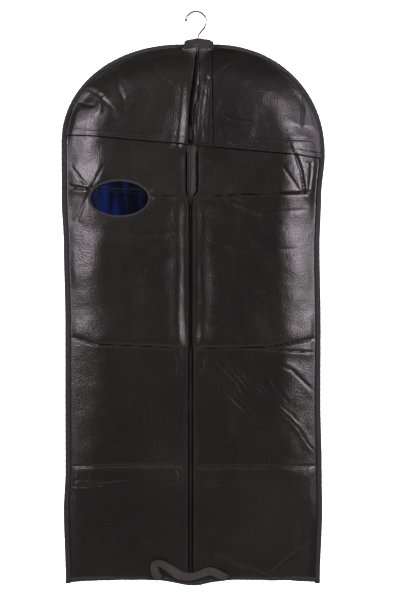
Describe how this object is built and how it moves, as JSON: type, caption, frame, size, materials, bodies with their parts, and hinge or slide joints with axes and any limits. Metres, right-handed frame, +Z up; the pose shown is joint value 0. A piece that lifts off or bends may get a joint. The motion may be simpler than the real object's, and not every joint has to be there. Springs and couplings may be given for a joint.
{
  "type": "garment bag",
  "caption": "Hanging suit cover with rounded shoulders, centre zip, oval window, flat back, hem carry handle and a hanger with a swivel hook.",
  "frame": {"origin": "inner crown of the hanger's hook, where the rail touches it", "axes": "+Z up, the front with the zip faces -Y, the flat back faces +Y, +X is the viewer's right"},
  "size_m": [0.6105, 0.0524, 1.3303],
  "materials": {
    "shell": "satin",
    "binding": "matte",
    "zip_tape": "matte",
    "zip_coil": "satin",
    "slider_metal": "gloss",
    "chrome": "polished",
    "wood": "satin",
    "film": "gloss",
    "webbing": "matte"
  },
  "bodies": {
    "upper_section": {"yoke_left": "shell", "yoke_right": "shell", "yoke_placket": "shell", "yoke_underlap": "shell", "front_left_upper": "shell", "front_right_upper": "shell", "back_upper": "shell", "binding_arch_left": "binding", "binding_arch_right": "binding", "binding_left_upper": "binding", "binding_right_upper": "binding", "neck_collar_front": "binding", "neck_collar_back": "binding", "window_film": "film", "window_rim": "binding", "zip_tape_left_upper": "zip_tape", "zip_tape_right_upper": "zip_tape", "zip_coil_left_upper": "zip_coil", "zip_coil_right_upper": "zip_coil", "zip_top_stop": "slider_metal", "hanger_body": "wood", "hook_ferrule": "chrome"},
    "middle_section": {"front_left_middle": "shell", "front_right_middle": "shell", "back_middle": "shell", "binding_left_middle": "binding", "binding_right_middle": "binding", "zip_tape_left_middle": "zip_tape", "zip_tape_right_middle": "zip_tape", "zip_coil_left_middle": "zip_coil", "zip_coil_right_middle": "zip_coil"},
    "lower_section": {"front_left_lower": "shell", "front_right_lower": "shell", "back_lower": "shell", "binding_left_lower": "binding", "binding_right_lower": "binding", "binding_hem": "binding", "zip_tape_left_lower": "zip_tape", "zip_tape_right_lower": "zip_tape", "zip_coil_left_lower": "zip_coil", "zip_coil_right_lower": "zip_coil", "zip_bottom_stop": "slider_metal"},
    "hanger_hook": {"hanger_hook": "chrome"},
    "zip_slider": {"zip_slider": "slider_metal"},
    "zip_pull": {"zip_pull": "slider_metal"},
    "carry_handle": {"carry_handle": "webbing"}
  },
  "joints": [
    {"name": "hook_swivel", "type": "hinge", "parent": "upper_section", "child": "hanger_hook", "pos_m": [0.005, 0, 0], "axis": [0, 0, 1], "continuous": true},
    {"name": "fold_middle", "type": "hinge", "parent": "upper_section", "child": "middle_section", "pos_m": [0, 0.019, -0.772], "axis": [1, 0, 0], "range_deg": [0, 176]},
    {"name": "fold_lower", "type": "hinge", "parent": "middle_section", "child": "lower_section", "pos_m": [0, -0.00525, -1.0475], "axis": [-1, 0, 0], "range_deg": [0, 175]},
    {"name": "zip_travel", "type": "slide", "parent": "upper_section", "child": "zip_slider", "axis": [0, -0.0371, 0.9993], "range_m": [-1.004, 0]},
    {"name": "pull_swing", "type": "hinge", "parent": "zip_slider", "child": "zip_pull", "pos_m": [-0.0125, -0.03435, -0.272], "axis": [-1, 0, 0], "range_deg": [0, 170]},
    {"name": "handle_swing", "type": "hinge", "parent": "lower_section", "child": "carry_handle", "pos_m": [0, 0.0062, -1.3185], "axis": [1, 0, 0], "range_deg": [0, 180]}
  ]
}
